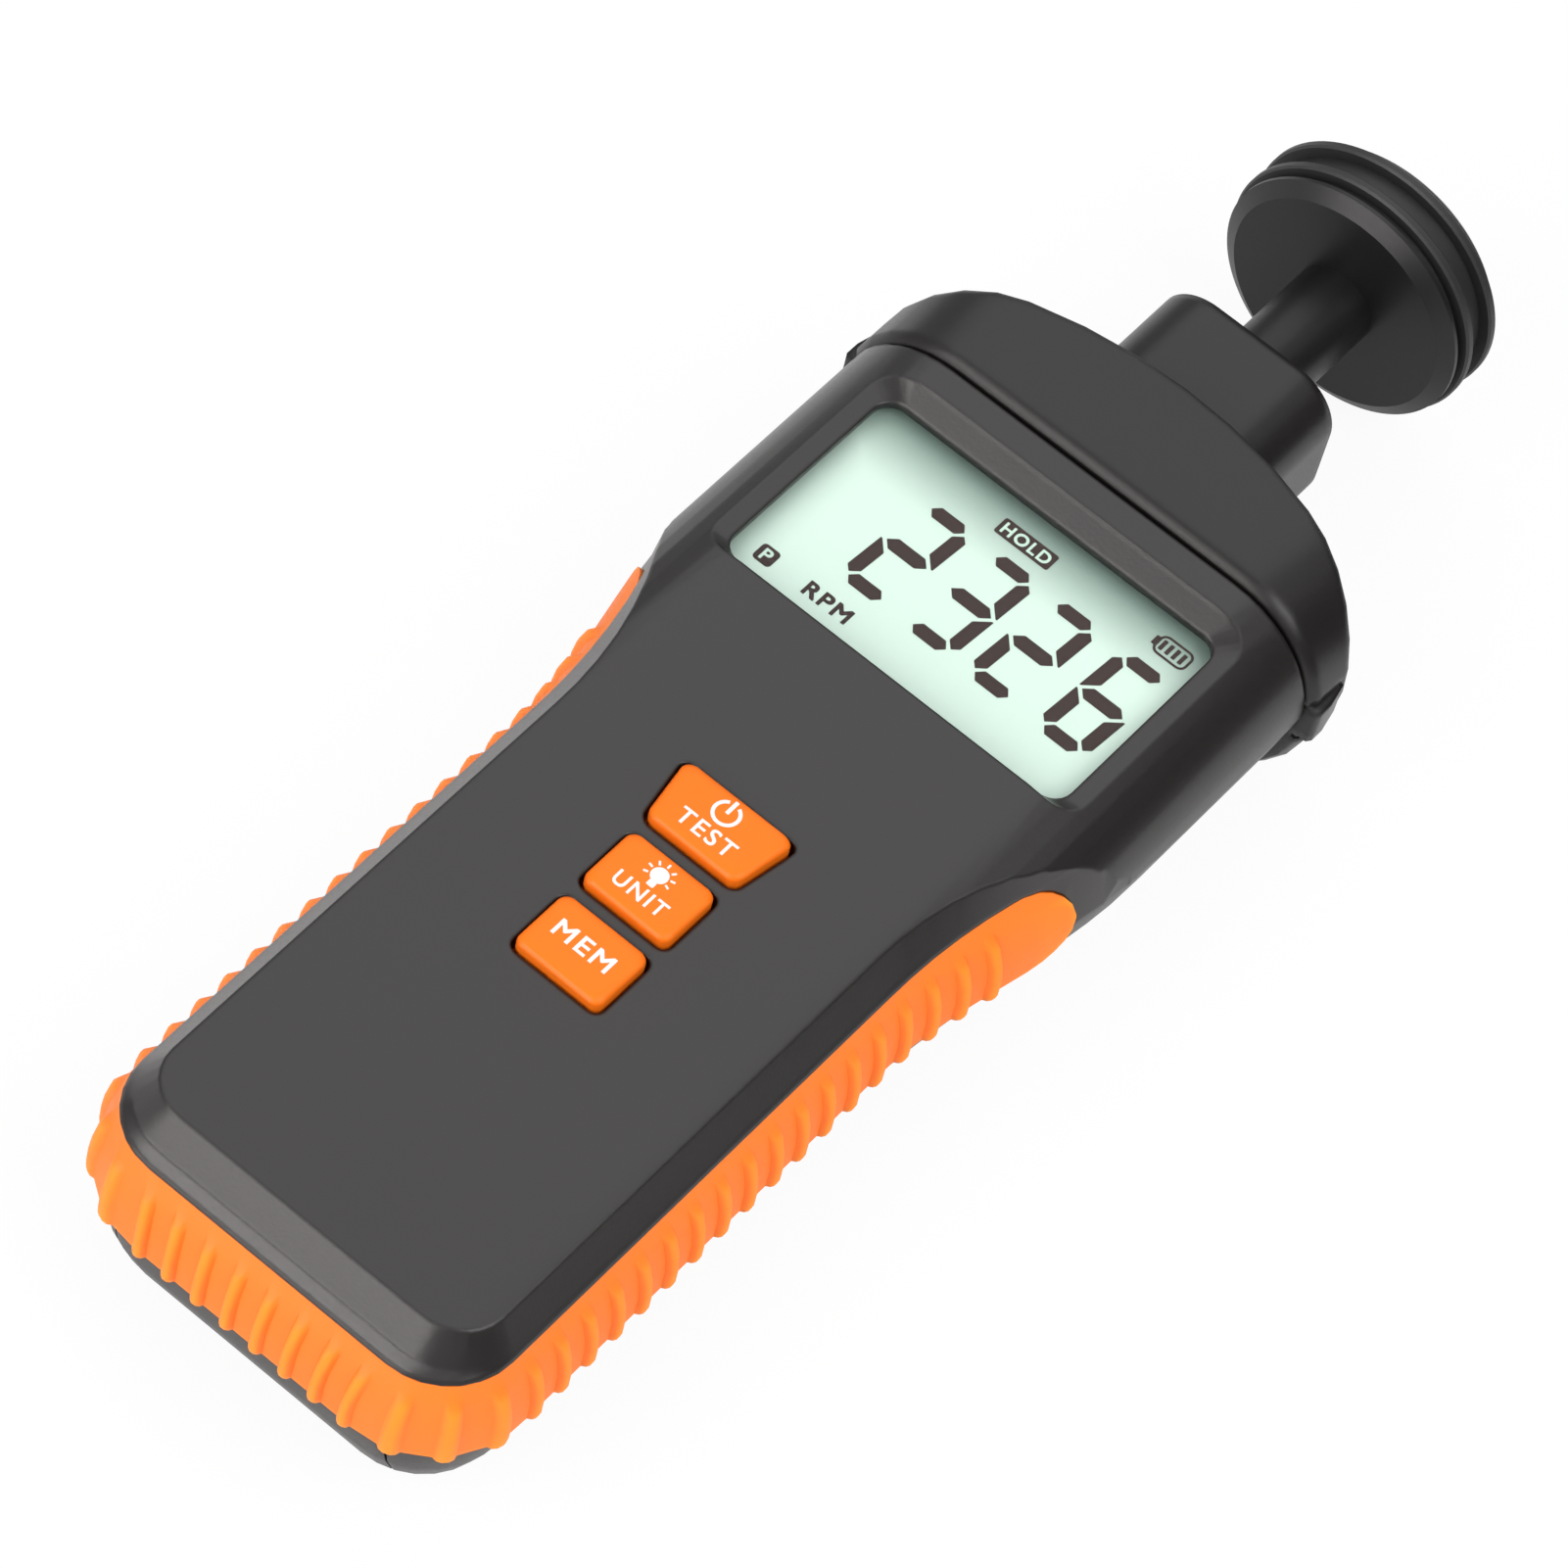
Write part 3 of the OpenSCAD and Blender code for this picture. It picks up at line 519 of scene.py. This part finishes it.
def words(text, width, cap, bold, x, y, z, film=ink_film):
    """Letters of the plain face, drawn to a width and height in millimetres.

    They are struck four times, a little apart, to embolden them."""
    bpy.ops.object.select_all(action="DESELECT")
    bpy.ops.object.text_add(location=(0.0, 0.0, 0.0))
    o = bpy.context.active_object
    o.data.body = text
    o.data.size = letter_size
    o.data.space_character = letter_space
    o.data.extrude = 0.5 * film * MM
    o.data.resolution_u = letter_steps
    bpy.ops.object.convert(target="MESH")
    o = bpy.context.active_object
    low = Vector([min(v.co[i] for v in o.data.vertices) for i in range(3)])
    high = Vector([max(v.co[i] for v in o.data.vertices) for i in range(3)])
    middle = 0.5 * (low + high)
    wider = (width - bold) * MM / (high.x - low.x)
    taller = (cap - bold) * MM / (high.y - low.y)
    draw = Matrix.Diagonal((wider, taller, 1.0, 1.0))
    o.data.transform(draw @ Matrix.Translation((-middle.x, -middle.y, -low.z)))
    struck = []
    for i, (sx, sy) in enumerate(((-1, -1), (1, -1), (-1, 1), (1, 1))):
        strike = own_copy(o)
        struck.append(set_down(strike, x + sx * bold / 2, y + sy * bold / 2, z + strike_lift * i))
    bpy.data.objects.remove(o)
    return struck


def cut_away(o, tool):
    """Takes the shape of a tool out of a piece, and then the tool away."""
    cut = o.modifiers.new("cut", "BOOLEAN")
    cut.operation = "DIFFERENCE"
    cut.solver = "EXACT"
    cut.object = tool
    pick(o)
    bpy.ops.object.modifier_apply(modifier="cut")
    bpy.data.objects.remove(tool)


def frame_line(width, length, corner, line, film=ink_film):
    """A thin rounded outline: a plate with its middle taken out."""
    o = plate(width, length, corner, film=film)
    hole = plate(width - 2 * line, length - 2 * line, max(corner - line, least_corner), film=3 * film)
    hole.location.z = -film * MM
    cut_away(o, hole)
    return o


hold_x = -0.83
hold_y = 28.5
peak_x = -19.05
lower_y = 7.7
charge_y = 28.8
charge_tip_x = 16.3
charge_frame_x = 18.6
charge_xs = (17.25, 18.1, 18.95, 19.8)
signs = words("RPM", width=5.83, cap=2.03, bold=0.16, x=-10.8, y=lower_y, z=ink_z)
signs.append(set_down(plate(width=7.17, length=2.36, corner=0.3), hold_x, hold_y, ink_z))
signs.append(set_down(plate(width=2.3, length=2.4, corner=0.5), peak_x, lower_y, ink_z))
charge_frame = frame_line(width=4.3, length=2.75, corner=0.9, line=0.3)
signs.append(set_down(charge_frame, charge_frame_x, charge_y, ink_z))
signs.append(set_down(plate(width=0.5, length=1.3, corner=0.1), charge_tip_x, charge_y, ink_z))
for charge_x in charge_xs:
    signs.append(set_down(plate(width=0.48, length=1.45, corner=0.06), charge_x, charge_y, ink_z))
to_print(signs, "display_signs", segment_ink, "housing")

letter_z = ink_z + ink_film
sign_letters = words("HOLD", width=6.2, cap=1.6, bold=0.10, x=hold_x, y=hold_y, z=letter_z)
sign_letters += words("P", width=1.1, cap=1.6, bold=0.10, x=peak_x, y=lower_y, z=letter_z)
to_print(sign_letters, "display_sign_letters", letter_pale, "housing")


# Keys
# Three hard orange caps with rounded edges that pass through the face and press on tact switches.
# White legends are printed on them: the function words, a power sign and a lamp sign.
key_orange = moulded("key_orange", (1.0, 0.19, 0.008), (0.96, 0.176, 0.007), roughness=0.42, grain=2200.0,
                     depth=0.04, specular=0.22)
for name in ("power_key", "unit_key", "memory_key"):
    finish_node(name, key_orange, angle=45.0)

legend_white = moulded("legend_white", (0.88, 0.80, 0.79), (0.84, 0.77, 0.76), roughness=0.5, grain=2000.0,
                       depth=0.03, specular=0.3)
mark_sunk = 0.02
mark_film = 0.04
mark_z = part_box("power_key")[1].z / MM - mark_sunk
arc_steps = 40


def ring_mark(radius, line, start, sweep):
    """An arc of a printed line, in millimetres: a short line spun about the origin."""
    bpy.ops.object.select_all(action="DESELECT")
    bpy.ops.mesh.primitive_plane_add(size=line * MM, location=(radius * MM, 0.0, 0.0))
    o = bpy.context.active_object
    bpy.ops.object.transform_apply(location=True)
    bpy.ops.object.mode_set(mode="EDIT")
    bpy.ops.mesh.select_mode(type="VERT")
    bpy.ops.mesh.select_all(action="DESELECT")
    bpy.ops.object.mode_set(mode="OBJECT")
    for v in o.data.vertices:
        v.select = v.co.y > 0.0
    bpy.ops.object.mode_set(mode="EDIT")
    bpy.ops.mesh.delete(type="VERT")
    bpy.ops.mesh.select_all(action="SELECT")
    bpy.ops.transform.translate(value=(0.0, 0.5 * line * MM, 0.0))
    bpy.ops.mesh.spin(
        steps=arc_steps, angle=-math.radians(sweep), center=(0.0, 0.0, 0.0), axis=(0.0, 0.0, 1.0))
    thicken(mark_film)
    o.data.transform(Matrix.Rotation(math.radians(start), 4, "Z"))
    return o


power_sign_y = -22.8
power_bar_y = -21.88
power_marks = words("TEST", width=7.1, cap=2.05, bold=0.08, x=0.0, y=-25.97, z=mark_z, film=mark_film)
power_ring = ring_mark(radius=1.42, line=0.42, start=115.0, sweep=310.0)
power_marks.append(set_down(power_ring, 0.0, power_sign_y, mark_z))
power_bar = plate(width=0.45, length=1.85, corner=0.08, film=mark_film)
power_marks.append(set_down(power_bar, 0.0, power_bar_y, mark_z))
to_print(power_marks, "power_key_legend", legend_white, "power_button")

lamp_y = -33.25
lamp_foot_y = lamp_y - 1.3
lamp_foot_lift = 0.004
ray_out = 1.48
ray_angles = (-21.0, 14.0, 51.0, 90.0, 129.0, 166.0, 201.0)
unit_marks = words("UNIT", width=6.45, cap=1.9, bold=0.08, x=0.0, y=-36.25, z=mark_z, film=mark_film)
lamp_bulb = plate(width=2.0, length=2.0, corner=0.99, film=mark_film)
unit_marks.append(set_down(lamp_bulb, 0.0, lamp_y, mark_z))
lamp_foot = plate(width=0.9, length=0.75, corner=0.15, film=mark_film)
unit_marks.append(set_down(lamp_foot, 0.0, lamp_foot_y, mark_z + lamp_foot_lift))
for angle in ray_angles:
    ray = set_down(plate(width=0.55, length=0.25, corner=0.05, film=mark_film), ray_out, 0.0, 0.0)
    unit_marks.append(set_down(ray, 0.0, lamp_y, mark_z, angle))
to_print(unit_marks, "unit_key_legend", legend_white, "unit_button")

memory_marks = words("MEM", width=7.05, cap=2.17, bold=0.11, x=0.0, y=-44.9, z=mark_z, film=mark_film)
to_print(memory_marks, "memory_key_legend", legend_white, "memory_button")


# Board, switches and screws
# A green board hangs from posts in the front shell; small plated screws hold it and the two shells.
# None of this shows until the meter is opened, except the cross-slotted screw heads in their wells.
streak_stretch = 4.0
streak_detail = 3.0
streak_gloss = 0.1
streak_dark = 0.85


def metal(name, tone, roughness, lines):
    """A turned or plated metal: fine streaks in the gloss and the tone."""
    finish, shader = new_finish(name)
    tree = finish.node_tree
    shader.inputs["Metallic"].default_value = 1.0
    stretch = tree.nodes.new("ShaderNodeMapping")
    stretch.inputs["Scale"].default_value = (lines, lines * streak_stretch, lines)
    tree.links.new(object_place(tree), stretch.inputs["Vector"])
    streaks = clouding(tree, stretch.outputs["Vector"], 1.0, streak_detail)
    vary_gloss(tree, streaks, roughness - streak_gloss, roughness + streak_gloss)
    dark_tone = [part * streak_dark for part in tone]
    tones = blend_tones(tree, streaks, (*dark_tone, 1.0), (*tone, 1.0))
    tree.links.new(tones, shader.inputs["Base Color"])
    return finish


board_green = moulded("board_green", (0.012, 0.12, 0.045), (0.010, 0.09, 0.035), roughness=0.35, grain=700.0,
                      depth=0.05)
finish_node("main_board", board_green)
switch_black = moulded("switch_black", (0.03, 0.03, 0.033), (0.025, 0.025, 0.028), roughness=0.4,
                       grain=1500.0, depth=0.05)
finish_node("tact_switches", switch_black)
screw_zinc = metal("screw_zinc", (0.55, 0.56, 0.58), roughness=0.32, lines=900.0)
finish_node("case_screws", screw_zinc)
finish_node("board_screws", screw_zinc)

screw_low, screw_high = (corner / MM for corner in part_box("case_screws"))
screw_sides = 40
screw_radius = 2.6
screw_head = 2.2
screw_edge = 0.35
screw_edge_steps = 3
shank_radius = 1.45
shank_long = screw_high.z - screw_low.z - screw_head
slot_wide = 0.75
slot_long = 3.3
slot_deep = 1.3
slot_turns = (25.0, 115.0)
level = 0.9
end_reach = 0.1
smooth_below = 35.0
screw_places = ((16.0, screw_low.y + screw_radius), (17.0, screw_high.y - screw_radius))

bpy.ops.object.select_all(action="DESELECT")
bpy.ops.mesh.primitive_cylinder_add(
    vertices=screw_sides, radius=screw_radius * MM, depth=screw_head * MM,
    location=(0.0, 0.0, (screw_low.z + 0.5 * screw_head) * MM))
screw = bpy.context.active_object
bpy.ops.object.transform_apply(location=True)
bpy.ops.object.mode_set(mode="EDIT")
bpy.ops.mesh.select_mode(type="FACE")
bpy.ops.object.mode_set(mode="OBJECT")
for face in screw.data.polygons:
    face.select = face.normal.z > level
bpy.ops.object.mode_set(mode="EDIT")
bpy.ops.mesh.inset(thickness=(screw_radius - shank_radius) * MM)
bpy.ops.mesh.extrude_region_move(TRANSFORM_OT_translate={"value": (0.0, 0.0, shank_long * MM)})
bpy.ops.object.mode_set(mode="OBJECT")
for face in screw.data.polygons:
    face.select = face.normal.z < -level and face.center.z < (screw_low.z + end_reach) * MM
bpy.ops.object.mode_set(mode="EDIT")
bpy.ops.mesh.bevel(offset=screw_edge * MM, segments=screw_edge_steps, affect="EDGES")
bpy.ops.object.mode_set(mode="OBJECT")
for turn in slot_turns:
    slot = plate(slot_wide, slot_long, film=2 * slot_deep)
    cut_away(screw, set_down(slot, 0.0, 0.0, screw_low.z - slot_deep, turn))
screw_set = []
for x, y in screw_places:
    for side in (-1, 1):
        screw_set.append(set_down(own_copy(screw), side * x, y, 0.0))
bpy.data.objects.remove(screw)
screw_piece = to_print(screw_set, "case_screw_set", screw_zinc, "housing")
pick(screw_piece)
bpy.ops.object.shade_smooth_by_angle(angle=math.radians(smooth_below))
screw_piece.select_set(False)
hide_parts("case_screws")


# Batteries
# Three slim cells lie side by side under the cover, between plated contact plates.
# Their foil jackets are plain, and the caps at their ends are bare metal.
def two_tone(finish, axis, middle, limit, tone):
    """Gives a finish another tone where its distance from a middle plane, across an axis, passes a limit."""
    tree = finish.node_tree
    offset = combine(tree, "SUBTRACT", along(tree, axis), middle)
    away = combine(tree, "ABSOLUTE", offset)
    tint_by(finish, combine(tree, "GREATER_THAN", away, limit), (*tone, 1.0))


cell_low, cell_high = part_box("battery_cells")
cell_middle = 0.5 * (cell_low.y + cell_high.y)
cell_cap = 1.6 * MM
jacket_half = 0.5 * (cell_high.y - cell_low.y) - cell_cap
cell_blue = metal("cell_blue", (0.10, 0.22, 0.40), roughness=0.35, lines=300.0)
two_tone(cell_blue, "Y", cell_middle, jacket_half, (0.66, 0.66, 0.64))
finish_node("battery_cells", cell_blue)
contact_nickel = metal("contact_nickel", (0.70, 0.68, 0.62), roughness=0.3, lines=1200.0)
finish_node("battery_contacts", contact_nickel)


# Optics
# A dark bezel closes the front of the housing and is the spigot that the contact head clips on.
# It holds a brass laser module and a dark photo sensor side by side.
bezel_black = moulded("bezel_black", (0.024, 0.023, 0.023), (0.020, 0.019, 0.019), roughness=0.5,
                      grain=2200.0, depth=0.08, specular=0.3)
finish_node("front_bezel", bezel_black)
laser_brass = metal("laser_brass", (0.75, 0.56, 0.26), roughness=0.28, lines=1500.0)
finish_node("laser_module", laser_brass)
sensor_dark = moulded("sensor_dark", (0.010, 0.008, 0.016), (0.014, 0.010, 0.020), roughness=0.15,
                      grain=900.0, depth=0.02)
finish_node("photo_sensor", sensor_dark)


# Contact head
# A hollow black cap with a domed front and a square nose, held on the spigot by a latch tab at each side.
# Two brass bushes in it carry the spindle.
head_black = moulded("head_black", (0.0140, 0.0125, 0.0122), (0.0115, 0.0105, 0.0102), roughness=0.32,
                     grain=2600.0, depth=0.09, specular=0.38, edge=0.0015)
finish_node("contact_head", head_black, angle=24.0)
bush_brass = metal("bush_brass", (0.72, 0.53, 0.25), roughness=0.34, lines=1500.0)
finish_node("rear_bearing", bush_brass)
finish_node("front_bearing", bush_brass)


# Spindle and surface-speed wheel
# A ground steel spindle with a bright disc for the laser behind, and a black turned wheel pushed on in front.
# A rubber tyre with two lips sits in the wheel's rim.
spindle_steel = metal("spindle_steel", (0.62, 0.62, 0.64), roughness=0.25, lines=1500.0)
finish_node("spindle", spindle_steel)
disc_low, disc_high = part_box("reflector_disc")
disc_radius = 0.5 * (disc_high.x - disc_low.x)
disc_bright = metal("disc_bright", (0.82, 0.82, 0.84), roughness=0.18, lines=600.0)
two_tone(disc_bright, "X", disc_low.x, disc_radius, (0.02, 0.02, 0.02))
finish_node("reflector_disc", disc_bright)
ring_steel = metal("ring_steel", (0.5, 0.5, 0.52), roughness=0.35, lines=900.0)
finish_node("retaining_ring", ring_steel)
wheel_black = moulded("wheel_black", (0.011, 0.0105, 0.011), (0.009, 0.0085, 0.009), roughness=0.36,
                      grain=2600.0, depth=0.06, specular=0.35)
finish_node("wheel_hub", wheel_black)
tyre_black = moulded("tyre_black", (0.016, 0.0155, 0.016), (0.020, 0.0195, 0.020), roughness=0.5,
                     grain=1600.0, depth=0.08)
finish_node("drive_tyre", tyre_black)
